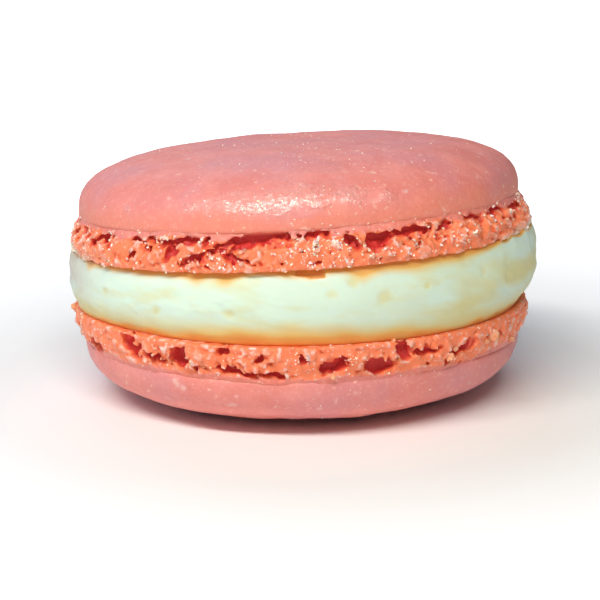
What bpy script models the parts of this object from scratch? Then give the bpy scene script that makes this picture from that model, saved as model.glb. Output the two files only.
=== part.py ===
"""French macaron: two baked almond shells around a layer of buttercream.

Each shell is one biscuit, a smooth dome over a ruffled foot. The lower shell lies on its dome, on a
small flat spot. The upper shell leans a little to one side, so the filling is a wedge.

Metres, +Z up. The origin is under the middle of the macaron, on the surface that it stands on.
Run with: blender --background --python part.py
"""

import math

import bpy
from mathutils import Euler, Vector, noise

# Driving dimensions
FOOT_RADIUS = 0.0230  # widest part of a ruffled foot
CAP_RADIUS = 0.0219  # edge of the smooth dome
FOOT_HEIGHT = 0.0034  # from the flat baked face to the dome's edge
UPPER_DOME_HEIGHT = 0.0061
LOWER_DOME_HEIGHT = 0.0058
FILLING_THICKNESS = 0.0062  # at the middle, from baked face to baked face
LEAN_SIDE = math.radians(2.4)  # the upper shell rises towards +X
LEAN_FRONT = math.radians(2.0)  # and towards -Y
GAP = 0.0003  # clearance between two pieces that touch

# Outlines
UPPER_FULLNESS = 3.0  # exponent of the dome's superellipse: 2 is an ellipse, more is boxier
LOWER_FULLNESS = 2.5  # the same, for the dome with the flat spot
REST_RADIUS = 0.0070  # flat spot that the lower dome stands on
LIP_DEPTH = 0.0003  # how far the foot starts in behind the dome's edge
LIP_DROP = 0.07  # and how far below it, as a share of the foot's height
FOOT_SWELL = math.radians(115)  # arc of the foot's outline, which is widest at 90 degrees
FILLING_FOOT_RADIUS = 0.0204  # where the filling sits on the lower shell
FILLING_HEAD_RADIUS = 0.0214  # where it meets the upper one
FILLING_BULGE_RADIUS = 0.0229
FILLING_BLUNTNESS = 0.7  # below 1, the bulge is flatter than half a sine wave
FILLING_SHIFT = 0.0002  # it is squeezed out a little further towards +X

# Unevenness: each wave has a depth and a length
RUFFLE_DEPTH = 0.00035
RUFFLE_LENGTH = 0.0026
CREVICE_DEPTH = 0.0009
CREVICE_LENGTH = 0.0050
DOME_WAVE_DEPTH = 0.00012
DOME_WAVE_LENGTH = 0.0060
FILLING_WAVE_DEPTH = 0.00035
FILLING_WAVE_LENGTH = 0.0050
UPPER_SHIFT = Vector((11.3, 0, 0))  # where each shell starts in the noise, so that they differ
LOWER_SHIFT = Vector((3.7, 0, 0))

# Facets
SEGMENTS = 136
DOME_RINGS = 7
FOOT_RINGS = 6
FILLING_RINGS = 6
SHARP_ANGLE = math.radians(50)

SHELL_COLOUR = (0.84, 0.30, 0.24, 1.0)
FILLING_COLOUR = (0.80, 0.83, 0.60, 1.0)

LOWER_FACE = LOWER_DOME_HEIGHT + FOOT_HEIGHT  # height of the lower shell's baked face
UPPER_FACE = LOWER_FACE + FILLING_THICKNESS  # height of the upper one's, at the middle


def clear_scene():
    for obj in list(bpy.data.objects):
        bpy.data.objects.remove(obj, do_unlink=True)


def food_material(name, colour, roughness):
    """A plain Principled finish with the piece's colour."""
    material = bpy.data.materials.new(name)
    material.use_nodes = True
    shader = material.node_tree.nodes["Principled BSDF"]
    shader.inputs["Base Color"].default_value = colour
    shader.inputs["Roughness"].default_value = roughness
    shader.inputs["Metallic"].default_value = 0.0
    return material


def smooth_step(value, low, high):
    """0 below low, 1 above high, and an S-curve between them."""
    t = min(max((value - low) / (high - low), 0.0), 1.0)
    return t * t * (3 - 2 * t)


def dome_outline(height, flat_radius, fullness):
    """Dome as (radius, height above the baked face), from its middle down to its edge.

    A quarter superellipse, from the rim of a flat spot out to the dome's edge.
    """
    points = [(0.0, FOOT_HEIGHT + height)]
    if flat_radius > 0:
        points.append((flat_radius, FOOT_HEIGHT + height))
    for ring in range(1, DOME_RINGS + 1):
        turn = math.radians(90) * (1 - ring / DOME_RINGS)
        out = math.cos(turn) ** (2 / fullness)
        up = math.sin(turn) ** (2 / fullness)
        radius = flat_radius + (CAP_RADIUS - flat_radius) * out
        points.append((radius, FOOT_HEIGHT + height * up))
    return points


def foot_outline():
    """Foot as (radius, height above the baked face), from the dome's edge down to the baked face.

    It starts in behind the dome's lip, swells to its widest near the baked face and turns in a
    little to a crisp edge.
    """
    waist = CAP_RADIUS - LIP_DEPTH
    points = []
    for ring in range(FOOT_RINGS):
        down = ring / (FOOT_RINGS - 1)
        radius = waist + (FOOT_RADIUS - waist) * math.sin(FOOT_SWELL * down)
        points.append((radius, FOOT_HEIGHT * (1 - LIP_DROP) * (1 - down)))
    points.append((0.0, 0.0))
    return points


def filling_outline():
    """Filling as (radius, share of its thickness), from the top down, bulging between the shells."""
    bulge = FILLING_BULGE_RADIUS - (FILLING_FOOT_RADIUS + FILLING_HEAD_RADIUS) / 2
    points = [(0.0, 1.0)]
    for ring in range(FILLING_RINGS + 1):
        up = 1 - ring / FILLING_RINGS
        straight = FILLING_FOOT_RADIUS + (FILLING_HEAD_RADIUS - FILLING_FOOT_RADIUS) * up
        points.append((straight + bulge * math.sin(math.pi * up) ** FILLING_BLUNTNESS, up))
    points.append((0.0, 0.0))
    return points


def turned_mesh(name, outline):
    """Closed mesh turned about Z from an outline of (radius, height) that runs from top to bottom."""
    line = bpy.data.meshes.new(name + "_outline")
    points = [(radius, 0.0, height) for radius, height in outline]
    line.from_pydata(points, [(i, i + 1) for i in range(len(points) - 1)], [])
    holder = bpy.data.objects.new(name + "_outline", line)
    bpy.context.scene.collection.objects.link(holder)
    screw = holder.modifiers.new("turn", "SCREW")
    screw.steps = screw.render_steps = SEGMENTS
    screw.use_merge_vertices = True
    screw.merge_threshold = 0.00002
    turned = holder.evaluated_get(bpy.context.evaluated_depsgraph_get())
    mesh = bpy.data.meshes.new_from_object(turned)
    mesh.name = name
    bpy.data.objects.remove(holder, do_unlink=True)
    bpy.data.meshes.remove(line)
    return mesh


def shell_relief(place, radius, shift):
    """How far a point of a shell stands out from the turned shape.

    The dome has soft waves. The foot has ruffles all over, and crevices in its upper half.
    """
    on_foot = 1 - smooth_step(place.z, 0.9 * FOOT_HEIGHT, 1.2 * FOOT_HEIGHT)
    under_lip = smooth_step(place.z, 0.45 * FOOT_HEIGHT, 0.7 * FOOT_HEIGHT)
    on_rim = Vector((place.x, place.y, 0)) * (FOOT_RADIUS / radius)
    ruffle = noise.noise((on_rim + Vector((0, 0, 2 * place.z))) / RUFFLE_LENGTH + shift)
    crevice = smooth_step(noise.noise(on_rim / CREVICE_LENGTH + 2 * shift), 0.05, 0.35)
    wave = noise.noise(place / DOME_WAVE_LENGTH + shift)
    foot_relief = RUFFLE_DEPTH * ruffle - CREVICE_DEPTH * crevice * under_lip
    return on_foot * foot_relief + (1 - on_foot) * DOME_WAVE_DEPTH * wave


def shell_mesh(name, outline, shift):
    """One biscuit, dome up, with its flat baked face at z = 0."""
    mesh = turned_mesh(name, outline)
    for vertex in mesh.vertices:
        radius = math.hypot(vertex.co.x, vertex.co.y)
        if radius > GAP:
            stretch = 1 + shell_relief(vertex.co, radius, shift) / radius
            vertex.co.x *= stretch
            vertex.co.y *= stretch
    return mesh


def filling_mesh(name, upward):
    """The buttercream, from the lower shell's face to the upper one's, whose normal is upward."""
    mesh = turned_mesh(name, filling_outline())
    bottom = LOWER_FACE + GAP
    for vertex in mesh.vertices:
        x, y, share = vertex.co
        radius = math.hypot(x, y)
        if radius > GAP:
            wave = noise.noise(Vector((x, y, FILLING_THICKNESS * share)) / FILLING_WAVE_LENGTH)
            stretch = 1 + FILLING_WAVE_DEPTH * wave / radius
            x = x * stretch + FILLING_SHIFT
            y *= stretch
        top = UPPER_FACE - (upward.x * x + upward.y * y + GAP) / upward.z
        vertex.co = (x, y, bottom + (top - bottom) * share)
    return mesh


def add_piece(mesh, height, turn, material, collection):
    """Object for one piece, lifted to its height and turned about its own middle."""
    mesh.shade_smooth()
    mesh.set_sharp_from_angle(angle=SHARP_ANGLE)
    mesh.materials.append(material)
    piece = bpy.data.objects.new(mesh.name, mesh)
    piece.location.z = height
    piece.rotation_euler = turn
    collection.objects.link(piece)


def main():
    clear_scene()
    macaron = bpy.data.collections.new("macaron")
    bpy.context.scene.collection.children.link(macaron)
    shell = food_material("shell", SHELL_COLOUR, 0.55)
    buttercream = food_material("buttercream", FILLING_COLOUR, 0.45)

    level = Euler((0, 0, 0))
    turned_over = Euler((math.pi, 0, 0))
    leaning = Euler((-LEAN_FRONT, -LEAN_SIDE, 0))

    lower_outline = dome_outline(LOWER_DOME_HEIGHT, REST_RADIUS, LOWER_FULLNESS) + foot_outline()
    lower = shell_mesh("bottom_shell", lower_outline, LOWER_SHIFT)
    add_piece(lower, LOWER_FACE, turned_over, shell, macaron)

    layer = filling_mesh("filling", leaning.to_matrix() @ Vector((0, 0, 1)))
    add_piece(layer, 0, level, buttercream, macaron)

    upper_outline = dome_outline(UPPER_DOME_HEIGHT, 0, UPPER_FULLNESS) + foot_outline()
    upper = shell_mesh("top_shell", upper_outline, UPPER_SHIFT)
    add_piece(upper, UPPER_FACE, leaning, shell, macaron)


main()
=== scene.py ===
"""Looks of a French macaron, modelled around its packed frame.

Two baked almond shells hold a thick layer of buttercream. Each shell is a smooth thin-skinned cap
over a porous foot, a crumb full of bubbles and torn hollows. The caps, the filling and the feet are
numpy surfaces. The feet are the zero level of a field of lumps, bubbles and hollows.

Metres, +Z up. -Y is the front, +X the right.
"""

import collections
import itertools
import math

import bmesh
import bpy
import numpy as np
from bpy.props import FloatProperty, FloatVectorProperty, IntProperty, PointerProperty
from mathutils import Matrix, Vector


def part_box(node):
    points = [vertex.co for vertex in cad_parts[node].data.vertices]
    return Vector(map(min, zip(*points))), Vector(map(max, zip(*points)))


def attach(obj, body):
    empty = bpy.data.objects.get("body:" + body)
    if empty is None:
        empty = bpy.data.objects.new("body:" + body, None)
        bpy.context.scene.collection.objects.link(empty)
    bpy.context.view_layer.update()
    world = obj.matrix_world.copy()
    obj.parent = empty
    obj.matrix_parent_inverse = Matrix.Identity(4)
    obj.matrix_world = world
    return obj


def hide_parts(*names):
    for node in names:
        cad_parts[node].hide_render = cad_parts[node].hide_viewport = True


bl_info = {
    "name": "French macaron",
    "version": (1, 0, 0),
    "blender": (4, 5, 0),
    "location": "View3D > Sidebar > Macaron",
    "description": "Builds the shells, feet, buttercream and crumbs of a French macaron on its frame",
    "category": "Object",
}

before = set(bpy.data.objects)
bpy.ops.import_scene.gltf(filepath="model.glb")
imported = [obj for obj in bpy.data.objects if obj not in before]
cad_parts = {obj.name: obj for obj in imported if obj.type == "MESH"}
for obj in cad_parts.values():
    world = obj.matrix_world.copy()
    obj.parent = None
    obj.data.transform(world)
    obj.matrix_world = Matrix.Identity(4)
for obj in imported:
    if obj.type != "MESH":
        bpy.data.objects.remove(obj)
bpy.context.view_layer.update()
BODY = "root"
MM = 0.001


# ---------------------------------------------------------------- frame


def baked_face(node, facing):
    """Height at the axis, and upward normal, of the flat face that a shell was baked on.

    They are read from the frame's mesh: the face is all that points straight up or down, to within a
    few degrees, where facing is 1 for up and -1 for down.
    """
    flat = [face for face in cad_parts[node].data.polygons if face.normal.z * facing > 0.99]
    area = sum(face.area for face in flat)
    normal = sum((face.normal * face.area for face in flat), Vector()).normalized() * facing
    middle = sum((face.center * face.area for face in flat), Vector()) / area
    return middle.dot(normal) / normal.z, normal


LOWER_FACE, _ = baked_face("bottom_shell", 1)
UPPER_FACE, UPWARD = baked_face("top_shell", -1)
FOOT_RADIUS = (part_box("bottom_shell")[1].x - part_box("bottom_shell")[0].x) / 2


def upper_place():
    """Matrix from the upper shell's own space, baked face at z = 0, to its place on the filling."""
    side = math.atan2(-UPWARD.x, UPWARD.z)
    front = math.asin(-UPWARD.y)
    return Matrix.Translation((0, 0, UPPER_FACE)) @ (
        Matrix.Rotation(-side, 4, "Y") @ Matrix.Rotation(front, 4, "X")
    )


def lower_place():
    """The same for the lower shell, which is upside down: a mirror in its baked face."""
    return Matrix.Translation((0, 0, LOWER_FACE)) @ Matrix.Scale(-1, 4, (0, 0, 1))


# ---------------------------------------------------------------- noise


class Lattice:
    """Random numbers tied to the points of an endless grid, the same on each run."""

    made = {}

    def __init__(self, seed):
        draws = np.random.default_rng(seed)
        self.order = draws.permutation(256)
        slopes = draws.normal(size=(256, 3))
        slopes /= np.linalg.norm(slopes, axis=1, keepdims=True)
        self.slopes = slopes.astype(np.float32)
        self.loose = draws.random((256, 4), dtype=np.float32)

    @classmethod
    def of(cls, seed):
        if seed not in cls.made:
            cls.made[seed] = cls(seed)
        return cls.made[seed]

    def row(self, cells):
        """Row of the tables for each grid point: its three whole numbers, shuffled one after another."""
        x, y, z = (cells[..., axis] & 255 for axis in range(3))
        return self.order[(self.order[(self.order[x] + y) & 255] + z) & 255]


def noise(points, size, seed):
    """Smooth noise, about -1 to 1, with lumps of the given size.

    Each lattice point has a random slope. The value is the eight slopes' heights at the place, mixed
    by an S-curve in each direction.
    """
    lattice = Lattice.of(seed)
    scaled = (points / size).astype(np.float32)
    whole = np.floor(scaled)
    part = scaled - whole
    whole = whole.astype(np.int32)
    curve = part**3 * (part * (part * 6 - 15) + 10)
    total = np.zeros(points.shape[:-1], np.float32)
    for corner in itertools.product((0, 1), repeat=3):
        slopes = lattice.slopes[lattice.row(whole + np.array(corner, np.int32))]
        away = part - np.array(corner, np.float32)
        weight = 1.0
        for axis in range(3):
            weight = weight * (curve[..., axis] if corner[axis] else 1 - curve[..., axis])
        total += weight * np.einsum("...i,...i", slopes, away)
    return 1.7 * total


ASKEW = np.array(Matrix.Rotation(0.93, 3, (-0.6, 0.75, 0.15)), np.float32)  # turns the balls' lattice


def balls_distance(points, size, smallest, largest, seed):
    """Distance to the skin of the nearest ball, negative inside it.

    Each cell of a lattice holds one ball, somewhere in it, with a random radius between smallest and
    largest, under 0.6 of a cell. So only the eight cells around a point matter. The lattice stands on
    a corner of its cells, so that no row of balls runs along a rim or straight up.
    """
    lattice = Lattice.of(seed)
    scaled = (points.astype(np.float32) / size) @ ASKEW
    whole = np.floor(scaled - 0.5).astype(np.int32)
    nearest = np.full(points.shape[:-1], 1e9, np.float32)
    for offset in itertools.product((0, 1), repeat=3):
        cell = whole + np.array(offset, np.int32)
        loose = lattice.loose[lattice.row(cell)]
        away = scaled - cell - (0.1 + 0.8 * loose[..., :3])
        reach = smallest + (largest - smallest) * loose[..., 3]
        gap = np.sqrt(np.einsum("...i,...i", away, away)) * size - reach
        np.minimum(nearest, gap, out=nearest)
    return nearest


def s_curve(value, low, high):
    """0 below low, 1 above high, and an S-curve between them."""
    t = np.clip((value - low) / (high - low), 0, 1)
    return t * t * (3 - 2 * t)


def azimuth_of(points):
    """Direction of each point around the axis, in degrees: 0 at the front, 90 at the right."""
    return np.degrees(np.arctan2(points[..., 0], -points[..., 1]))


def turn_between(azimuth, centre):
    """Signed angle from centre to azimuth, in degrees, by the shorter way round."""
    return (azimuth - centre + 180) % 360 - 180


# ---------------------------------------------------------------- meshes


def new_piece(name, points, faces, finish, replaces=(), marks=None):
    """Mesh object from a point array and a list of face arrays, riding on the macaron's one body.

    faces holds integer arrays of corners, one array for each number of sides. marks are named
    values for each point, which the finish can read.
    """
    points = np.ascontiguousarray(points, np.float32)
    if enclosed_volume(points, faces) < 0:
        faces = [f[:, ::-1] for f in faces]
    mesh = bpy.data.meshes.new(name)
    mesh.vertices.add(len(points))
    mesh.vertices.foreach_set("co", points.ravel())
    mesh.loops.add(sum(f.size for f in faces))
    mesh.loops.foreach_set("vertex_index", np.concatenate([f.ravel() for f in faces]).astype(np.int32))
    sides = np.concatenate([np.full(len(f), f.shape[1]) for f in faces])
    mesh.polygons.add(len(sides))
    mesh.polygons.foreach_set("loop_start", (np.cumsum(sides) - sides).astype(np.int32))
    for mark, values in (marks or {}).items():
        layer = mesh.attributes.new(mark, "FLOAT", "POINT")
        layer.data.foreach_set("value", np.ascontiguousarray(values, np.float32))
    mesh.update(calc_edges=True)
    mesh.shade_smooth()
    mesh.materials.append(finish)
    piece = bpy.data.objects.new(name, mesh)
    bpy.context.scene.collection.objects.link(piece)
    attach(piece, BODY)
    if replaces:
        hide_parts(*replaces)
    return piece


def enclosed_volume(points, faces):
    """Volume inside the faces, positive when they face outwards: a sum over corner triangles."""
    total = 0.0
    for sides in faces:
        first = points[sides[:, 0]].astype(np.float64)
        for step in range(1, sides.shape[1] - 1):
            second, third = points[sides[:, step]], points[sides[:, step + 1]]
            total += np.einsum("ij,ij", first, np.cross(second, third)) / 6
    return total


def moved(points, matrix):
    """Points carried through a 4 by 4 matrix."""
    table = np.array(matrix)
    return points @ table[:3, :3].T + table[:3, 3]


def band_faces(rows, columns):
    """Quads of a grid of rows that each close on themselves, as (n, 4) corners."""
    index = np.arange(rows * columns).reshape(rows, columns)
    ahead = np.roll(index, -1, axis=1)
    quads = np.stack([index[:-1], ahead[:-1], ahead[1:], index[1:]], -1)
    return quads.reshape(-1, 4)


def fan_faces(ring, centre):
    """Triangles that close a ring of point indices with one centre point."""
    ahead = np.roll(ring, -1)
    return np.stack([ring, ahead, np.full_like(ring, centre)], -1)


def net_over(field):
    """Skin of the places where a field is above zero, as points in grid steps, and quads.

    Surface nets: each cell that the zero level crosses gets one point, at the mean of the crossings
    on its edges. Each grid edge whose ends differ in sign gets one quad, between the points of the
    four cells around it. The first axis closes on itself. Also gives the table of point numbers.
    """
    corners = {}
    for a, b, c in itertools.product((0, 1), repeat=3):
        turned = np.roll(field, -a, axis=0)
        corners[a, b, c] = turned[:, b : b + field.shape[1] - 1, c : c + field.shape[2] - 1]
    total = np.zeros(corners[0, 0, 0].shape + (3,), np.float32)
    count = np.zeros(corners[0, 0, 0].shape, np.float32)
    for axis in range(3):
        for start in itertools.product((0, 1), repeat=3):
            if start[axis]:
                continue
            end = tuple(1 if i == axis else start[i] for i in range(3))
            low, high = corners[start], corners[end]
            crossed = (low > 0) != (high > 0)
            gap = np.where(crossed, low - high, 1)
            for i in range(3):
                along = low / gap if i == axis else start[i]
                total[..., i] += np.where(crossed, along, 0)
            count += crossed
    active = count > 0
    number = np.full(active.shape, -1, np.int64)
    number[active] = np.arange(active.sum())
    points = total[active] / count[active][:, None] + np.argwhere(active)
    quads = []
    for axis in range(3):
        others = [i for i in range(3) if i != axis]
        ahead = np.roll(field, -1, axis=0) if axis == 0 else np.delete(field, 0, axis)
        here = field if axis == 0 else np.delete(field, -1, axis)
        crossed = (here > 0) != (ahead > 0)
        edges = np.argwhere(crossed)
        inside = here[crossed] > 0
        keep = np.ones(len(edges), bool)
        for other in others:
            if other:
                keep &= (edges[:, other] > 0) & (edges[:, other] < field.shape[other] - 1)
        edges, inside = edges[keep], inside[keep]
        around = []
        for back in ((0, 0), (1, 0), (1, 1), (0, 1)):
            cell = edges.copy()
            cell[:, others[0]] -= back[0]
            cell[:, others[1]] -= back[1]
            cell[:, 0] %= field.shape[0]
            around.append(number[cell[:, 0], cell[:, 1], cell[:, 2]])
        quad = np.stack(around, -1)
        flip = inside if axis == 1 else ~inside
        quad[flip] = quad[flip][:, ::-1]
        quads.append(quad)
    return points, np.concatenate(quads), number


def largest_part(points, faces, marks):
    """Drops the loose bits of a mesh, keeping the part with the most points.

    Each point takes the lowest number among its neighbours, over and over, until nothing changes.
    """
    links = np.concatenate([f[:, [i, i - 1]] for f in faces for i in range(f.shape[1])])
    label = np.arange(len(points))
    while True:
        lowest = label.copy()
        np.minimum.at(lowest, links[:, 0], label[links[:, 1]])
        np.minimum.at(lowest, links[:, 1], label[links[:, 0]])
        lowest = lowest[lowest]
        if np.array_equal(lowest, label):
            break
        label = lowest
    values, counts = np.unique(label, return_counts=True)
    keep = label == values[counts.argmax()]
    number = np.cumsum(keep) - 1
    faces = [number[f[keep[f[:, 0]]]] for f in faces]
    return points[keep], faces, {mark: values[keep] for mark, values in marks.items()}


def relaxed(points, faces, amount, passes):
    """Moves each point part of the way to the mean of its neighbours, to soften grid steps."""
    links = np.concatenate([f[:, [i, i - 1]] for f in faces for i in range(f.shape[1])])
    links = np.concatenate([links, links[:, ::-1]])
    count = np.bincount(links[:, 0], minlength=len(points))[:, None]
    for _ in range(passes):
        mean = np.stack(
            [np.bincount(links[:, 0], points[links[:, 1], i], len(points)) for i in range(3)], -1
        )
        points = points + amount * (mean / np.maximum(count, 1) - points)
    return points


def back_to_back(mesh):
    """Numbers of the triangles that share all three points with another, so enclose nothing."""
    sides = np.empty(len(mesh.polygons), np.int32)
    start = np.empty(len(mesh.polygons), np.int32)
    corners = np.empty(len(mesh.loops), np.int32)
    mesh.polygons.foreach_get("loop_total", sides)
    mesh.polygons.foreach_get("loop_start", start)
    mesh.loops.foreach_get("vertex_index", corners)
    triangles = np.flatnonzero(sides == 3)
    keys = np.sort(corners[start[triangles][:, None] + np.arange(3)], axis=1)
    _, group, count = np.unique(keys, axis=0, return_inverse=True, return_counts=True)
    return triangles[count[group.ravel()] > 1]


def thinned(piece, triangles):
    """Merges short edges of a piece where it is flattest, until it has this many triangles.

    Where a thin web of crumb collapses, two triangles end up back to back, and both are removed.
    """
    piece.data.calc_loop_triangles()
    thinner = piece.modifiers.new("thin", "DECIMATE")
    thinner.ratio = min(triangles / len(piece.data.loop_triangles), 1)
    mesh = bpy.data.meshes.new_from_object(piece.evaluated_get(bpy.context.evaluated_depsgraph_get()))
    mesh.name = piece.data.name
    shape = bmesh.new()
    shape.from_mesh(mesh)
    shape.faces.ensure_lookup_table()
    doubled = [shape.faces[i] for i in back_to_back(mesh)]
    bmesh.ops.delete(shape, geom=doubled, context="FACES")
    shape.to_mesh(mesh)
    shape.free()
    piece.modifiers.clear()
    piece.data = mesh


# ---------------------------------------------------------------- sizes and colours


def srgb(red, green, blue):
    """Linear colour from display values of 0 to 255."""
    parts = [v / 255 for v in (red, green, blue)]
    return tuple(v / 12.92 if v <= 0.04045 else ((v + 0.055) / 1.055) ** 2.4 for v in parts)


def length(name, default, description):
    return FloatProperty(
        name=name, description=description, default=default, min=0, unit="LENGTH", precision=5
    )


def colour(name, default, description):
    return FloatVectorProperty(
        name=name, description=description, default=default, size=3, min=0, max=1, subtype="COLOR"
    )


class MacaronShell(bpy.types.PropertyGroup):
    """Sizes of the two baked shells."""

    cap_radius: length("Cap radius", 21.9 * MM, "Radius of the smooth cap at the crease over its foot")
    foot_height: length("Foot height", 3.4 * MM, "From the flat baked face up to the crease")
    upper_dome: length("Upper dome", 6.1 * MM, "Height of the upper cap above its crease")
    lower_dome: length("Lower dome", 5.8 * MM, "Height of the lower cap above its crease")
    upper_fullness: FloatProperty(
        name="Upper fullness", default=3.0, min=2, max=6,
        description="Exponent of the upper cap's outline: 2 is an ellipse, more is boxier",
    )
    lower_fullness: FloatProperty(
        name="Lower fullness", default=2.5, min=2, max=6,
        description="The same, for the lower cap outside its flat spot",
    )
    rest_radius: length("Rest radius", 7.0 * MM, "Flat spot that the lower cap stands on")
    edge: length("Edge", 0.09 * MM, "How far the cap rounds in at the crease")


class MacaronFoot(bpy.types.PropertyGroup):
    """Sizes of the porous feet."""

    lump: length("Lump depth", 0.28 * MM, "How far the crumb's clumps stand out")
    lump_size: length("Lump size", 2.3 * MM, "Width of a clump")
    nodule: length("Nodule", 0.40 * MM, "Radius of the largest balls of crumb")
    grain: length("Grain", 0.19 * MM, "Radius of the largest grains of crumb")
    bubble: length("Bubble", 0.36 * MM, "Radius of the largest bubbles")
    warp: length("Warp", 0.26 * MM, "How far balls and bubbles are bent out of round")
    rim: length("Rim", 0.45 * MM, "Height of the firm rim along the baked edge")
    lower_inset: length("Lower inset", 0.3 * MM, "How much narrower the lower foot is")
    tilt: FloatProperty(
        name="Hollow tilt", default=0.3, min=-1, max=1,
        description="How much the upper foot's hollows climb towards its crease on their way in",
    )
    steps: IntProperty(
        name="Steps", default=1150, min=200, max=1400,
        description="Grid steps around the foot, which set how fine the crumb is",
    )
    triangles: IntProperty(
        name="Triangles", default=196000, min=1000, max=199000,
        description="How many triangles a foot keeps",
    )


class MacaronFilling(bpy.types.PropertyGroup):
    """Sizes of the buttercream."""

    foot_radius: length("Lower radius", 21.5 * MM, "Where the buttercream sits on the lower shell")
    head_radius: length("Upper radius", 22.0 * MM, "Where it meets the upper shell")
    bulge_radius: length("Bulge radius", 22.9 * MM, "Its widest part, halfway up")
    shift: length("Shift", 0.2 * MM, "How much further it is squeezed out to the right")


class MacaronColours(bpy.types.PropertyGroup):
    """Colours of the finishes."""

    skin: colour("Skin", srgb(242, 148, 136), "Smooth skin of the caps")
    skin_deep: colour("Deep skin", srgb(228, 124, 112), "Darker mottling of the skin")
    skin_mauve: colour("Mauve skin", srgb(222, 138, 142), "Cooler patches of the skin")
    skin_warm: colour("Warm skin", srgb(240, 134, 106), "Skin near the crease")
    skin_pale: colour("Pale skin", srgb(246, 190, 172), "Pale specks in the skin")
    # Also the paler colour of the painted highlight in the glossy spots of the caps.
    skin_fleck_and_highlight: colour("Fleck", srgb(250, 212, 204), "Larger flecks in the skin")
    crumb_pale: colour("Pale crumb", srgb(255, 208, 196), "Grains that stand out of the feet")
    crumb: colour("Crumb", srgb(252, 164, 138), "Ridges of the feet")
    # Orange of the crumb, mottled at random, and also painted shade and scattered light between the grains and in the
    # hollows.
    crumb_orange_and_shade: colour("Inner crumb", srgb(252, 132, 84), "Between the grains and in the bubbles")
    loose: colour("Loose crumb", srgb(249, 190, 150), "Loose crumbs")
    loose_deep: colour("Deep loose crumb", srgb(240, 154, 110), "Dents in the loose crumbs")
    # Painted shade: deep red at the bottoms of the torn hollows.
    crumb_hollow_shade: colour("Deep crumb", srgb(200, 50, 44), "Bottoms of the torn hollows")
    cream: colour("Buttercream", srgb(217, 238, 220), "The filling's pale colour")
    # Also the low yellow of the painted reflected light near the lower shell.
    cream_yellow: colour("Yellow buttercream", srgb(220, 212, 142), "Streaks and pits in the filling")
    cream_dull: colour("Dull buttercream", srgb(202, 186, 170), "Where it is smeared with crumb")
    # Painted reflected light and shade: gold, then orange, where the buttercream touches the shells.
    cream_bounce_gold: colour("Golden buttercream", srgb(234, 192, 104), "Where it soaks a little colour")
    cream_bounce_orange: colour("Stained buttercream", srgb(230, 154, 74), "Where it touches the shells")
    # Pale sugar grains, which partly stand in for glints: painted highlights.
    sugar: colour("Sugar", srgb(254, 246, 246), "Tiny grains of sugar")
    sugar_yellow: colour("Yellow sugar", srgb(255, 247, 218), "Grains with a yellow tint")
    floor: colour("Floor", srgb(249, 249, 249), "The floor under the macaron")


class MacaronStage(bpy.types.PropertyGroup):
    """Camera and lights."""

    distance: length("Camera distance", 163.1 * MM, "From the camera to the macaron's axis")
    height: length("Camera height", 45.5 * MM, "Height of the camera over the floor")
    pitch: FloatProperty(
        name="Camera pitch", default=math.radians(12.8), subtype="ANGLE",
        description="How far the camera looks down",
    )
    roll: FloatProperty(
        name="Camera roll", default=math.radians(-0.94), subtype="ANGLE",
        description="Turn of the camera about its own view",
    )
    lens: FloatProperty(name="Lens", default=98.5, description="Focal length in millimetres, 36 wide")
    key: FloatProperty(name="Key", default=1.72, description="Power of the key light, in watts")
    side: FloatProperty(name="Side", default=0.3, description="Power of the soft light at the left")
    rim: FloatProperty(name="Rim", default=0.42, description="Power of the cool light behind")
    sky: FloatProperty(name="Sky", default=0.115, description="Strength of the even light all round")


SETTINGS = {
    "macaron_shell": MacaronShell,
    "macaron_foot": MacaronFoot,
    "macaron_filling": MacaronFilling,
    "macaron_colours": MacaronColours,
    "macaron_stage": MacaronStage,
}


# ---------------------------------------------------------------- finishes


def add_node(tree, kind, inputs=None, **settings):
    """One shader node. An input given as a socket is linked, and any other is set as a value."""
    node = tree.nodes.new(kind)
    for name, value in settings.items():
        setattr(node, name, value)
    for name, value in (inputs or {}).items():
        socket = node.inputs[name]
        if isinstance(value, bpy.types.NodeSocket):
            tree.links.new(value, socket)
        elif socket.type == "RGBA" and len(value) == 3:
            socket.default_value = (*value, 1)
        else:
            socket.default_value = value
    return node


def new_group(name, inputs, outputs):
    """Shader node group with named inputs, each with a default, and named outputs."""
    group = bpy.data.node_groups.new(name, "ShaderNodeTree")
    for label, kind, default in inputs:
        socket = group.interface.new_socket(label, in_out="INPUT", socket_type=kind)
        socket.default_value = default
    for label, kind in outputs:
        group.interface.new_socket(label, in_out="OUTPUT", socket_type=kind)
    return group, group.nodes.new("NodeGroupInput").outputs, group.nodes.new("NodeGroupOutput").inputs


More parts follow.
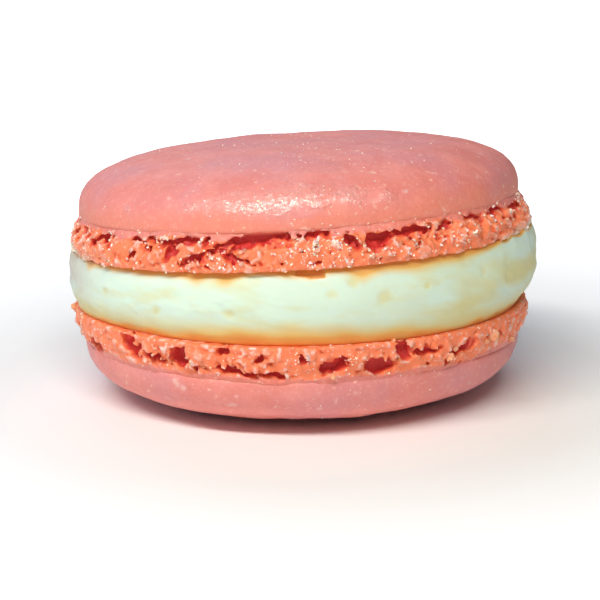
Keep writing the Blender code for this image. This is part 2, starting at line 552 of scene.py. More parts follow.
def grain_group():
    """Mottling and fine grain of baked almond dough, on Object coordinates.

    Mottle is a slow 0 to 1 change of tone. Specks is a mask of scattered pale flecks. Height is the
    fine grain, for a Bump node.
    """
    if "dough_grain" in bpy.data.node_groups:
        return bpy.data.node_groups["dough_grain"]
    group, given, gives = new_group(
        "dough_grain",
        [
            ("Mottle Scale", "NodeSocketFloat", 300.0),
            ("Speck Scale", "NodeSocketFloat", 1300.0),
            ("Speck Limit", "NodeSocketFloat", 0.645),
            ("Grain Scale", "NodeSocketFloat", 4000.0),
        ],
        [
            ("Mottle", "NodeSocketFloat"),
            ("Specks", "NodeSocketFloat"),
            ("Height", "NodeSocketFloat"),
        ],
    )
    place = add_node(group, "ShaderNodeTexCoord").outputs["Object"]
    slow = add_node(
        group, "ShaderNodeTexNoise",
        {"Vector": place, "Scale": given["Mottle Scale"], "Detail": 4.0, "Roughness": 0.6},
    )
    even = add_node(
        group, "ShaderNodeMapRange",
        {"Value": slow.outputs["Fac"], "From Min": 0.32, "From Max": 0.68},
    )
    flecks = add_node(
        group, "ShaderNodeTexNoise",
        {"Vector": place, "Scale": given["Speck Scale"], "Detail": 2.0, "Roughness": 0.5},
    )
    above = add_node(
        group, "ShaderNodeMath",
        {0: flecks.outputs["Fac"], 1: given["Speck Limit"]}, operation="SUBTRACT",
    )
    mask = add_node(
        group, "ShaderNodeMapRange",
        {"Value": above.outputs[0], "From Min": 0.0, "From Max": 0.12},
    )
    fine = add_node(
        group, "ShaderNodeTexNoise",
        {"Vector": place, "Scale": given["Grain Scale"], "Detail": 3.0, "Roughness": 0.65},
    )
    group.links.new(even.outputs[0], gives["Mottle"])
    group.links.new(mask.outputs[0], gives["Specks"])
    group.links.new(fine.outputs["Fac"], gives["Height"])
    return group


def blend(tree, fac, low, high):
    """Mix of two colours by a value."""
    node = add_node(tree, "ShaderNodeMix", data_type="RGBA")
    for socket, value in ((node.inputs[0], fac), (node.inputs[6], low), (node.inputs[7], high)):
        if isinstance(value, bpy.types.NodeSocket):
            tree.links.new(value, socket)
        else:
            socket.default_value = value if isinstance(value, float) else (*value, 1)
    return node.outputs[2]


def ranged(tree, value, low, high, out_low=0.0, out_high=1.0):
    """Value carried from low..high to out_low..out_high, kept inside them."""
    node = add_node(
        tree, "ShaderNodeMapRange",
        {"Value": value, "From Min": low, "From Max": high, "To Min": out_low, "To Max": out_high},
    )
    return node.outputs[0]


def new_finish(name, **constants):
    """Material with a Principled BSDF, and constants on its own sockets."""
    finish = bpy.data.materials.new(name)
    finish.use_nodes = True
    shader = finish.node_tree.nodes["Principled BSDF"]
    for label, value in constants.items():
        shader.inputs[label.replace("_", " ").title().replace("Ior", "IOR")].default_value = value
    return finish, finish.node_tree, shader


def skin_tone_group():
    """Colour of the baked skin: coral mottled with a deeper tone, mauve patches and pale flecks.

    The attribute warmth, 0 to 1, turns it orange, as it is near the crease. The attribute fleck is
    high on the larger pale flecks.
    """
    if "skin_tone" in bpy.data.node_groups:
        return bpy.data.node_groups["skin_tone"]
    tones = bpy.context.scene.macaron_colours
    group, _, gives = new_group("skin_tone", [], [("Color", "NodeSocketColor")])
    grain = add_node(group, "ShaderNodeGroup", node_tree=grain_group())
    place = add_node(group, "ShaderNodeTexCoord").outputs["Object"]
    slow = add_node(
        group, "ShaderNodeTexNoise", {"Vector": place, "Scale": 90.0, "Detail": 3.0, "Roughness": 0.6}
    )
    warmth = add_node(group, "ShaderNodeAttribute", attribute_name="warmth").outputs["Fac"]
    base = blend(group, grain.outputs["Mottle"], tones.skin_deep, tones.skin)
    base = blend(group, ranged(group, slow.outputs["Fac"], 0.45, 0.65, 0.1, 0.9), base, tones.skin_mauve)
    base = blend(group, ranged(group, warmth, 0.0, 1.0, 0.0, 0.85), base, tones.skin_warm)
    tiny = add_node(
        group, "ShaderNodeTexNoise", {"Vector": place, "Scale": 2600.0, "Detail": 2.0, "Roughness": 0.7}
    )
    base = blend(group, ranged(group, tiny.outputs["Fac"], 0.55, 0.75, 0.0, 0.35), base, tones.skin_deep)
    base = blend(group, ranged(group, tiny.outputs["Fac"], 0.45, 0.25, 0.0, 0.35), base, tones.skin_pale)
    base = blend(group, grain.outputs["Specks"], base, tones.skin_pale)
    fleck = add_node(group, "ShaderNodeAttribute", attribute_name="fleck").outputs["Fac"]
    base = blend(group, ranged(group, fleck, 0.0, 1.0, 0.0, 0.5), base, tones.skin_fleck_and_highlight)
    group.links.new(base, gives["Color"])
    return group


def skin_finish():
    """Satin skin of the caps, glossy and wrinkled in the marked spots where the key light's highlight falls, and
    paler there and in small scattered glossy spots: a painted highlight.
    """
    if "baked_skin" in bpy.data.materials:
        return bpy.data.materials["baked_skin"]
    tones = bpy.context.scene.macaron_colours
    finish, tree, shader = new_finish(
        "baked_skin", subsurface_weight=0.15, subsurface_scale=0.6 * MM,
        subsurface_radius=(1.0, 0.35, 0.25), ior=1.8,
    )
    base = add_node(tree, "ShaderNodeGroup", node_tree=skin_tone_group()).outputs["Color"]
    grain = add_node(tree, "ShaderNodeGroup", node_tree=grain_group())
    place = add_node(tree, "ShaderNodeTexCoord").outputs["Object"]
    moist = add_node(tree, "ShaderNodeAttribute", attribute_name="moist").outputs["Fac"]
    patches = add_node(
        tree, "ShaderNodeTexNoise", {"Vector": place, "Scale": 1500.0, "Detail": 4.0, "Roughness": 0.7}
    )
    wet_highlight = ranged(tree, patches.outputs["Fac"], 0.44, 0.49)
    wet_highlight = add_node(tree, "ShaderNodeMath", {0: wet_highlight, 1: moist}, operation="MULTIPLY").outputs[0]
    rare = ranged(tree, patches.outputs["Fac"], 0.62, 0.7, 0.0, 0.7)
    wet_highlight = add_node(tree, "ShaderNodeMath", {0: wet_highlight, 1: rare}, operation="MAXIMUM").outputs[0]
    dimples = add_node(
        tree, "ShaderNodeTexNoise", {"Vector": place, "Scale": 1700.0, "Detail": 3.0, "Roughness": 0.6}
    )
    depth = add_node(
        tree, "ShaderNodeMath",
        {0: dimples.outputs["Fac"], 1: ranged(tree, moist, 0.0, 0.7, 0.25, 1.0)}, operation="MULTIPLY",
    )
    coarse = add_node(
        tree, "ShaderNodeBump", {"Strength": 1.0, "Distance": 0.17 * MM, "Height": depth.outputs[0]}
    )
    fine = add_node(
        tree, "ShaderNodeBump",
        {
            "Strength": 0.7, "Distance": 0.04 * MM, "Height": grain.outputs["Height"],
            "Normal": coarse.outputs[0],
        },
    )
    # Painted highlight: the skin turns a little paler in its glossy spots.
    base = blend(tree, ranged(tree, wet_highlight, 0.0, 1.0, 0.0, 0.25), base, tones.skin_fleck_and_highlight)
    tree.links.new(base, shader.inputs["Base Color"])
    tree.links.new(ranged(tree, wet_highlight, 0.0, 1.0, 0.6, 0.1), shader.inputs["Roughness"])
    tree.links.new(fine.outputs[0], shader.inputs["Normal"])
    return finish


def crumb_finish():
    """Porous crumb of the feet, a little glossy, with painted light and shade: paler on the grains
    that stand out, orange between them and deep red in the torn hollows, with a faint red glow there,
    which stand in for shade and for light scattered inside the crumb.

    Up at the crease it takes on the colour of the caps' skin, and where cream is smeared, the cream's.
    """
    if "baked_crumb" in bpy.data.materials:
        return bpy.data.materials["baked_crumb"]
    tones = bpy.context.scene.macaron_colours
    finish, tree, shader = new_finish(
        "baked_crumb", subsurface_weight=0.4, subsurface_scale=0.6 * MM,
        subsurface_radius=(1.0, 0.4, 0.25),
    )
    grain = add_node(
        tree, "ShaderNodeGroup",
        {"Mottle Scale": 700.0, "Speck Scale": 2400.0, "Speck Limit": 0.6, "Grain Scale": 5200.0},
        node_tree=grain_group(),
    )
    marks = {
        mark: add_node(tree, "ShaderNodeAttribute", attribute_name=mark).outputs["Fac"]
        for mark in ("hollow", "skin", "smear", "gap")
    }
    skin = add_node(tree, "ShaderNodeGroup", node_tree=skin_tone_group()).outputs["Color"]
    # Painted shade between the grains: pale on them, turning to the crumb colour lower down.
    outer = blend(tree, ranged(tree, marks["gap"], 0.05, 0.6), tones.crumb_pale, tones.crumb)
    outer = blend(tree, ranged(tree, grain.outputs["Mottle"], 0.35, 0.7, 0.0, 0.6), outer, tones.crumb_orange_and_shade)
    # Painted shade and scattered light: orange deep between the grains.
    outer = blend(tree, ranged(tree, marks["gap"], 0.45, 0.85, 0.0, 0.9), outer, tones.crumb_orange_and_shade)
    outer = blend(tree, grain.outputs["Specks"], outer, tones.skin_pale)
    outer = blend(tree, ranged(tree, marks["skin"], 0.2, 0.9), outer, skin)
    outer = blend(tree, ranged(tree, marks["smear"], 0.1, 1.0, 0.0, 0.7), outer, tones.cream)
    # Painted shade in the torn hollows: orange, then deep red, the deeper the point lies under the foot's outline.
    base = blend(tree, ranged(tree, marks["hollow"], 0.08, 0.3), outer, tones.crumb_orange_and_shade)
    base = blend(tree, ranged(tree, marks["hollow"], 0.22, 0.55), base, tones.crumb_hollow_shade)
    # Painted glow: a faint red emission between the grains and in the hollows stands in for light scattered through
    # the crumb.
    glow = blend(tree, ranged(tree, marks["gap"], 0.5, 1.0), (0.0, 0.0, 0.0), (0.03, 0.007, 0.003))
    glow = blend(tree, ranged(tree, marks["hollow"], 0.25, 0.6), glow, (0.1, 0.009, 0.008))
    shader.inputs["Emission Strength"].default_value = 1.0
    tree.links.new(glow, shader.inputs["Emission Color"])
    rough = ranged(tree, grain.outputs["Mottle"], 0.0, 1.0, 0.55, 0.25)
    fine = add_node(
        tree, "ShaderNodeBump",
        {"Strength": 1.0, "Distance": 0.08 * MM, "Height": grain.outputs["Height"]},
    )
    tree.links.new(base, shader.inputs["Base Color"])
    tree.links.new(rough, shader.inputs["Roughness"])
    tree.links.new(fine.outputs[0], shader.inputs["Normal"])
    return finish


def loose_finish():
    """Loose crumbs: dry and yellowish, with a fine grain."""
    if "loose_crumb" in bpy.data.materials:
        return bpy.data.materials["loose_crumb"]
    tones = bpy.context.scene.macaron_colours
    finish, tree, shader = new_finish(
        "loose_crumb", subsurface_weight=0.3, subsurface_scale=0.4 * MM, subsurface_radius=(1.0, 0.5, 0.3)
    )
    grain = add_node(
        tree, "ShaderNodeGroup",
        {"Mottle Scale": 1800.0, "Speck Scale": 3200.0, "Speck Limit": 0.62, "Grain Scale": 5200.0},
        node_tree=grain_group(),
    )
    base = blend(tree, grain.outputs["Mottle"], tones.loose_deep, tones.loose)
    base = blend(tree, grain.outputs["Specks"], base, tones.skin_pale)
    fine = add_node(
        tree, "ShaderNodeBump",
        {"Strength": 1.0, "Distance": 0.08 * MM, "Height": grain.outputs["Height"]},
    )
    tree.links.new(base, shader.inputs["Base Color"])
    tree.links.new(ranged(tree, grain.outputs["Mottle"], 0.0, 1.0, 0.6, 0.4), shader.inputs["Roughness"])
    tree.links.new(fine.outputs[0], shader.inputs["Normal"])
    return finish


def cream_finish():
    """Soft buttercream: pale, with yellow streaks and pits, and gold and orange where it touches the
    shells: painted light reflected from them, and under the upper shell its painted shadow.

    The attributes yellow, stain and dull, 0 to 1, say where."""
    if "buttercream" in bpy.data.materials:
        return bpy.data.materials["buttercream"]
    tones = bpy.context.scene.macaron_colours
    finish, tree, shader = new_finish(
        "buttercream", subsurface_weight=0.3, subsurface_scale=1.5 * MM,
        subsurface_radius=(1.0, 0.8, 0.4),
    )
    place = add_node(tree, "ShaderNodeTexCoord").outputs["Object"]
    drawn = add_node(tree, "ShaderNodeMapping", {"Vector": place, "Scale": (0.35, 0.35, 1.0)})
    streaks = add_node(
        tree, "ShaderNodeTexNoise",
        {"Vector": drawn.outputs[0], "Scale": 420.0, "Detail": 3.0, "Roughness": 0.5},
    )
    stain = add_node(tree, "ShaderNodeAttribute", attribute_name="stain").outputs["Fac"]
    yellow = add_node(tree, "ShaderNodeAttribute", attribute_name="yellow").outputs["Fac"]
    base = blend(tree, ranged(tree, streaks.outputs["Fac"], 0.5, 0.8), tones.cream, tones.cream_yellow)
    base = blend(tree, ranged(tree, yellow, 0.0, 1.0, 0.0, 0.9), base, tones.cream_yellow)
    dull = add_node(tree, "ShaderNodeAttribute", attribute_name="dull").outputs["Fac"]
    # Painted light and shade: gold, then orange, near the shells, standing in for their reflected light and, under
    # the upper shell, its shadow.
    base = blend(tree, ranged(tree, stain, 0.0, 0.65), base, tones.cream_bounce_gold)
    base = blend(tree, ranged(tree, stain, 0.55, 1.0), base, tones.cream_bounce_orange)
    base = blend(tree, ranged(tree, dull, 0.0, 1.0, 0.0, 0.8), base, tones.cream_dull)
    rough = ranged(tree, streaks.outputs["Fac"], 0.3, 0.7, 0.45, 0.62)
    fine = add_node(
        tree, "ShaderNodeTexNoise", {"Vector": place, "Scale": 2500.0, "Detail": 3.0, "Roughness": 0.6}
    )
    bump = add_node(
        tree, "ShaderNodeBump", {"Strength": 0.3, "Distance": 0.04 * MM, "Height": fine.outputs["Fac"]}
    )
    tree.links.new(base, shader.inputs["Base Color"])
    tree.links.new(rough, shader.inputs["Roughness"])
    tree.links.new(bump.outputs[0], shader.inputs["Normal"])
    return finish


def sugar_finish():
    """Clear sugar crystals, white to honey yellow, with glossy faces; their pale colour partly stands in for glints,
    a painted highlight.
    """
    if "sugar_crystal" in bpy.data.materials:
        return bpy.data.materials["sugar_crystal"]
    tones = bpy.context.scene.macaron_colours
    finish, tree, shader = new_finish("sugar_crystal")
    place = add_node(tree, "ShaderNodeTexCoord").outputs["Object"]
    tint = add_node(tree, "ShaderNodeTexNoise", {"Vector": place, "Scale": 1500.0, "Detail": 1.0})
    base = blend(tree, ranged(tree, tint.outputs["Fac"], 0.4, 0.6), tones.sugar, tones.sugar_yellow)
    tree.links.new(base, shader.inputs["Base Color"])
    tree.links.new(ranged(tree, tint.outputs["Fac"], 0.3, 0.7, 0.1, 0.3), shader.inputs["Roughness"])
    return finish


# ---------------------------------------------------------------- caps

CAP_TUCK_RADIUS = 20.7 * MM  # where a cap's edge ends, inside its foot
CAP_TUCK_DROP = 0.4 * MM  # and how far below the crease


def even_profile(radius, height, count):
    """Profile (radius, height) resampled to count points, evenly along its length."""
    run = np.concatenate([[0], np.cumsum(np.hypot(np.diff(radius), np.diff(height)))])
    at = np.linspace(0, run[-1], count)
    return np.interp(at, run, radius), np.interp(at, run, height)


def dome_profile(sizes, height, flat_radius, fullness, count):
    """Dome from its middle to the crease: a quarter superellipse outside a flat spot."""
    turn = np.linspace(0, math.pi / 2, 4000)
    out = np.sin(turn) ** (2 / fullness)
    up = np.cos(turn) ** (2 / fullness)
    radius = flat_radius + (sizes.cap_radius - flat_radius) * out
    if flat_radius:
        radius, up = np.append(0, radius), np.append(1, up)
    return even_profile(radius, height * up, count)


def disc_grid(rings):
    """Square grid bent into a disc: ring number and direction of each point, and its quads.

    A point's ring is the larger of its two grid numbers, and its direction runs evenly along the
    square's sides, so that no point is a pole.
    """
    side = np.arange(-rings, rings + 1)
    x, y = np.meshgrid(side, side, indexing="ij")
    ring = np.maximum(abs(x), abs(y))
    steep = abs(y) > abs(x)
    big, small = np.where(steep, y, x), np.where(steep, x, y)
    eighth = math.pi / 4 * small / np.where(big == 0, 1, big)
    turn = np.where(steep, math.pi / 2 - eighth, eighth) + np.where(big < 0, math.pi, 0)
    index = np.arange(x.size).reshape(x.shape)
    quads = np.stack([index[:-1, :-1], index[1:, :-1], index[1:, 1:], index[:-1, 1:]], -1)
    return ring.ravel(), turn.ravel(), quads.reshape(-1, 4)


def foot_outline(sizes, height, inset):
    """Radius of a foot at a height over the baked face, without its lumps.

    It is narrowest at the crease and swells along a sine to its widest, a quarter of the way up. inset
    is how much narrower it is there than the frame's foot.
    """
    waist = sizes.cap_radius - 0.9 * sizes.edge
    down = np.clip(1 - height / sizes.foot_height, 0, 1)
    return waist + (FOOT_RADIUS - inset - waist) * np.sin(math.radians(122) * down)


def dome_relief(points, seed):
    """How far the cap's skin stands out from its turned shape: slow waves, small lumps, wrinkles."""
    slow = 0.15 * MM * noise(points, 8 * MM, seed)
    lumps = 0.075 * MM * noise(points, 2.8 * MM, seed + 1)
    wrinkles = 0.026 * MM * noise(points * np.array([1.0, 1.6, 1.0]), 0.95 * MM, seed + 2)
    grain = 0.012 * MM * noise(points, 0.45 * MM, seed + 3)
    return slow + lumps + wrinkles + grain


# Spots on the caps' skin: azimuth in degrees, height over the crease, half length and half
# height, in millimetres. The lower cap's height is measured downwards.
# The first table marks the glossy spots where the key light's highlight falls; there the skin is also painted paler,
# a painted highlight.
MOIST_HIGHLIGHT_SPOTS = (
    (-8, 2.2, 5.0, 0.9),
    (1, 2.8, 4.2, 1.2),
    (-15, 2.9, 2.8, 0.6),
    (13, 2.6, 1.8, 0.7),
    (-26, 2.2, 0.9, 0.5),
    (-46, 1.9, 0.5, 0.4),
    (-21, 1.6, 0.5, 0.4),
    (22, 2.4, 0.9, 0.5),
)
WARM_SPOTS = ((4, 0.3, 2.6, 1.3), (15, 0.2, 1.5, 0.7), (-14, 0.1, 2.5, 0.6))
UPPER_FLECKS = ((-33, 3.0, 0.5, 0.15), (27, 2.6, 0.5, 0.15))
LOWER_FLECKS = (
    (-32, 0.7, 0.4, 0.5),
    (-30, 1.1, 0.3, 0.3),
    (-18, 2.4, 0.8, 0.3),
    (-16, 1.4, 0.25, 0.25),
    (4, 2.7, 0.5, 0.3),
    (8, 1.8, 0.2, 0.4),
    (12.5, 1.2, 0.55, 0.5),
)


def spots_share(points, crease, spots, ragged):
    """0 to 1, how much a spot covers each point: ellipses whose edges are broken by two noises."""
    azimuth = azimuth_of(points)
    broken = ragged * (0.35 * noise(points, 1.1 * MM, 15) + 0.25 * noise(points, 0.45 * MM, 16))
    share = np.zeros(len(points))
    for centre, height, half_length, half_height in spots:
        along = np.radians(turn_between(azimuth, centre)) * FOOT_RADIUS / (half_length * MM)
        up = (points[:, 2] - crease - height * MM) / (half_height * MM)
        share = np.maximum(share, 1 - s_curve(np.hypot(along, up) + broken, 0.4, 1.25))
    return share


def cap_points(sizes, dome_height, flat_radius, fullness, rings, seed):
    """Points of one cap, in its shell's space, its quads and closing fan, and its marks.

    Rings run over the dome, round in at the crease by a quarter of a parabola, and go on inwards under
    it, into the foot.
    """
    tuck_rings = 8
    dome_rings = rings - tuck_rings
    ring, turn, quads = disc_grid(rings)
    radius, height = dome_profile(sizes, dome_height, flat_radius, fullness, dome_rings + 1)
    radius = radius - sizes.edge * np.clip(1 - height / (4 * sizes.edge), 0, 1) ** 2
    on_dome = np.minimum(ring, dome_rings)
    tuck = np.clip((ring - dome_rings) / tuck_rings, 0, 1)
    r = radius[on_dome] + (CAP_TUCK_RADIUS - radius[-1]) * tuck
    z = height[on_dome] - CAP_TUCK_DROP * tuck

    rim = np.stack([np.cos(turn), np.sin(turn), 0 * turn], -1)
    points = rim * r[:, None]
    points[:, 2] = sizes.foot_height + z
    slope_r, slope_z = np.gradient(radius), np.gradient(height)
    steep = np.hypot(slope_r, slope_z)
    outward = rim * (-slope_z / steep)[on_dome][:, None]
    outward[:, 2] = (slope_r / steep)[on_dome]
    relief = dome_relief(points, seed) * (1 - tuck)
    if flat_radius:
        relief = relief * s_curve(r, flat_radius, 1.5 * flat_radius)
    points += outward * relief[:, None]

    outer = np.flatnonzero(ring == rings)
    outer = outer[np.argsort(turn[outer] % (2 * math.pi))]
    middle = len(points)
    wander = 0.8 * MM * noise(points, 4 * MM, seed + 5)
    warmth = 1 - s_curve(points[:, 2] - sizes.foot_height + wander, 0.2 * MM, 2.8 * MM)
    points = np.vstack([points, [0, 0, sizes.foot_height - CAP_TUCK_DROP]])
    return points, [quads, fan_faces(outer, middle)], np.append(warmth, 0)


def build_caps():
    sizes = bpy.context.scene.macaron_shell
    finish = skin_finish()
    crease = sizes.foot_height
    rings = 150
    points, faces, warmth = cap_points(
        sizes, sizes.upper_dome, 0.0, sizes.upper_fullness, rings, seed=20
    )
    marks = {
        # the glossy spots of the painted highlight
        "moist": spots_share(points, crease, MOIST_HIGHLIGHT_SPOTS, 1),
        "warmth": np.maximum(warmth, 1.2 * spots_share(points, crease, WARM_SPOTS, 1)),
        "fleck": spots_share(points, crease, UPPER_FLECKS, 1.8),
    }
    new_piece("top_cap", moved(points, upper_place()), faces, finish, ["top_shell"], marks)
    points, faces, warmth = cap_points(
        sizes, sizes.lower_dome, sizes.rest_radius, sizes.lower_fullness, rings, seed=40
    )
    marks = {
        "moist": np.zeros(len(points)),
        "warmth": 0.12 * warmth,
        "fleck": spots_share(points, crease, LOWER_FLECKS, 1.8),
    }
    points = moved(points, lower_place())
    points[:, 2] = np.maximum(points[:, 2], 0)
    new_piece("bottom_cap", points, faces, finish, ["bottom_shell"], marks)


# ---------------------------------------------------------------- feet

# Torn hollows at the front of each foot: azimuth in degrees from the front, height over the
# baked face, half length, half height (millimetres) and slant in degrees.
UPPER_HOLLOWS = (
    (-56, 2.3, 1.9, 0.32, 12),
    (-42, 2.6, 0.7, 0.25, 0),
    (-38, 1.9, 0.5, 0.25, 0),
    (-43, 1.2, 0.6, 0.27, 20),
    (-37, 2.8, 0.8, 0.2, -4),
    (-29, 2.6, 1.7, 0.36, 7),
    (-31, 1.6, 0.8, 0.5, 33),
    (-22, 2.7, 0.5, 0.32, 15),
    (-10, 2.7, 3.5, 0.55, 7),
    (-24, 1.3, 1.7, 0.28, 20),
    (-16, 1.4, 1.7, 0.28, -17),
    (4, 3.0, 1.6, 0.3, 3),
    (12, 2.1, 0.8, 0.5, -43),
    (18, 2.0, 1.5, 0.66, 8),
    (27, 2.5, 1.9, 0.38, 0),
    (36, 2.5, 0.9, 0.3, 6),
    (46, 2.8, 1.1, 0.27, -7),
    (56, 2.7, 1.4, 0.37, 3),
    (69, 2.5, 1.6, 0.4, -3),
)
LOWER_HOLLOWS = (
    (-45, 1.4, 1.6, 0.8, 28),
    (-38, 1.9, 1.1, 0.4, 17),
    (-30, 1.5, 1.1, 0.95, -7),
    (-26, 2.5, 0.3, 0.23, 30),
    (-19, 0.7, 0.5, 0.34, -18),
    (-16, 2.5, 1.8, 0.36, 11),
    (-10, 1.2, 0.5, 0.27, -23),
    (-7, 2.7, 1.2, 0.34, 6),
    (0, 1.2, 0.5, 0.36, 0),
    (7, 1.9, 1.4, 0.6, -20),
    (18, 2.2, 1.35, 0.75, 2),
    (24, 1.1, 0.95, 0.7, 36),
    (30, 1.3, 1.2, 0.34, 2),
    (37, 2.7, 0.4, 0.34, -40),
    (41, 1.8, 1.5, 0.45, -6),
    (54, 1.4, 1.4, 0.4, 7),
)


# What makes a foot: its hollows, how much they climb on their way in, how much narrower than the
# frame's foot it is, how rough its crumb is, and where it starts in the noise.
FootKind = collections.namedtuple("FootKind", "hollows tilt inset rugged seed")


def random_hollows(seed, first, last, count):
    """Hollows for the sides and back, spread evenly from one azimuth to another with some scatter."""
    draws = np.random.default_rng(seed)
    rows = []
    for i in range(count):
        azimuth = first + (last - first) * (i + draws.random()) / count
        rows.append(
            (
                azimuth,
                1.0 + 2.0 * draws.random() ** 0.7,
                0.5 + 1.5 * draws.random() ** 2,
                0.3 + 0.35 * draws.random(),
                draws.uniform(-25, 25),
            )
        )
    return rows


def hollows_distance(points, depth, warp, kind):
    """Distance to the nearest torn hollow, negative inside it.

    Each hollow is an ellipsoid laid along the rim. The taller it is, the further it reaches in.
    """
    azimuth = azimuth_of(points)
    nearest = np.full(points.shape[:-1], 1e9, np.float32)
    for centre, height, half_length, half_height, slant in kind.hollows:
        along = np.radians(turn_between(azimuth, centre)) * FOOT_RADIUS
        close = abs(along[:, 0, 0]) < (half_length + 1) * MM
        lift = points[close][..., 2] - height * MM + warp[close] - kind.tilt * depth[close]
        run = along[close] - 0.7 * warp[close]
        angle = math.radians(slant)
        u = (run * math.cos(angle) + lift * math.sin(angle)) / (half_length * MM)
        v = (lift * math.cos(angle) - run * math.sin(angle)) / (half_height * MM)
        w = depth[close] / ((0.5 + 2.0 * half_height) * MM)
        gap = (np.sqrt(u * u + v * v + w * w) - 1) * half_height * MM
        nearest[close] = np.minimum(nearest[close], gap)
    return nearest


def foot_lumps(sizes, foot, points, seed):
    """How far a foot's clumps stand out from its outline, by the place on the rim: two noises.

    They die out towards the crease and the baked edge. A third noise pushes the skin in and out of
    line with the cap along the crease.
    """
    out = np.hypot(points[..., 0], points[..., 1])
    rim = points * np.stack([FOOT_RADIUS / out, FOOT_RADIUS / out, np.ones_like(out)], -1)
    lumps = noise(rim, foot.lump_size, seed) + 0.4 * noise(rim, 0.45 * foot.lump_size, seed + 1)
    fade = 1 - 0.8 * s_curve(points[..., 2], 0.7 * sizes.foot_height, sizes.foot_height)
    under_cap = s_curve(points[..., 2], 0.75 * sizes.foot_height, sizes.foot_height)
    overlap = 0.12 * MM * under_cap * (noise(rim, 1.7 * MM, seed + 13) + 0.2)
    return foot.lump * lumps * fade * (0.5 + 0.5 * s_curve(points[..., 2], 0, 2 * foot.rim)) + overlap


def bent_space(foot, points, seed):
    """Points moved by five noises, which bend the rows of balls and pull the balls out of round.

    Gives the two finer noises too, in metres.
    """
    slow = [0.4 * MM * noise(points, 2.1 * MM, seed + 14 + i) for i in range(3)]
    first, second = (foot.warp * noise(points, 0.75 * MM, seed + 2 + i) for i in range(2))
    return points + np.stack([slow[0] + first, slow[1] + second, slow[2] + first - second], -1), first, second


def crumb_field(sizes, foot, kind, grid):
    """Field that is positive in the crumb of a foot, over a grid of points.

    It is the depth under the foot's lumpy outline, swollen by balls and grains of crumb, and cut by
    bubbles, by the torn hollows and by the flat baked face. It is smoother in the skin under the
    crease and along the baked edge.
    """
    height = grid[..., 2]
    depth = foot_outline(sizes, height, kind.inset) - np.linalg.norm(grid[..., :2], axis=-1)
    depth = (depth + foot_lumps(sizes, foot, grid[:, -1:], kind.seed)).astype(np.float32)
    bent, first, second = bent_space(foot, grid, kind.seed)
    rough = kind.rugged * (1 - 0.85 * skin_share(sizes, grid, kind.seed)) * (
        0.35 + 0.65 * s_curve(height, 0.2 * foot.rim, 1.3 * foot.rim)
    )
    nodules = balls_distance(bent, foot.nodule / 0.48, 0.2 * foot.nodule, foot.nodule, kind.seed + 5)
    nodules = np.clip(np.where(nodules > 0, 1.3 * nodules, nodules), -0.2 * MM, 0.35 * MM)
    grains = balls_distance(bent, foot.grain / 0.5, 0.5 * foot.grain, foot.grain, kind.seed + 6)
    grains = np.clip(grains, -0.10 * MM, 0.13 * MM)
    body = depth - rough * (0.9 * nodules + 0.9 * grains - 0.06 * MM)
    bubbled = balls_distance(bent, foot.bubble / 0.38, 0.2 * foot.bubble, foot.bubble, kind.seed + 7)
    bubbled = bubbled + 0.25 * MM * (1 - rough) - 0.4 * grains
    torn = hollows_distance(grid, depth, 1.2 * first + 0.5 * nodules, kind)
    torn = torn - 0.35 * nodules - 0.6 * grains
    ragged = ragged_share(grid[:, -1:]) if kind.tilt else 0.0
    edge = height + 0.1 * second - (0.15 + 0.75 * ragged) * nodules
    return np.minimum.reduce([body, bubbled, torn, edge])


def ragged_share(points):
    """0 to 1, how ragged the upper foot's baked edge is: most near its left and right ends."""
    azimuth = azimuth_of(points)
    left = s_curve(-abs(turn_between(azimuth, -95)), -50, -25)
    right = s_curve(-abs(turn_between(azimuth, 80)), -45, -25)
    return np.maximum(left, right)


def grain_gap(foot, points, seed):
    """0 on the grains of the crumb to 1 deep between them."""
    bent, _, _ = bent_space(foot, points, seed)
    nodules = balls_distance(bent, foot.nodule / 0.48, 0.2 * foot.nodule, foot.nodule, seed + 5)
    grains = balls_distance(bent, foot.grain / 0.5, 0.5 * foot.grain, foot.grain, seed + 6)
    return np.clip(0.4 + nodules / (0.35 * MM) + grains / (0.3 * MM), 0, 1)


def skin_share(sizes, points, seed):
    """1 where the cap's smooth skin runs down over the foot, 0 in bare crumb, ragged between them."""
    out = np.hypot(points[..., 0], points[..., 1])
    rim = points * np.stack([FOOT_RADIUS / out, FOOT_RADIUS / out, 0 * out], -1)
    line = 0.84 + 0.14 * noise(rim, 5 * MM, seed + 10) + 0.05 * noise(rim, 0.8 * MM, seed + 11)
    share = points[..., 2] / sizes.foot_height
    return s_curve(share, line - 0.06, line + 0.10)


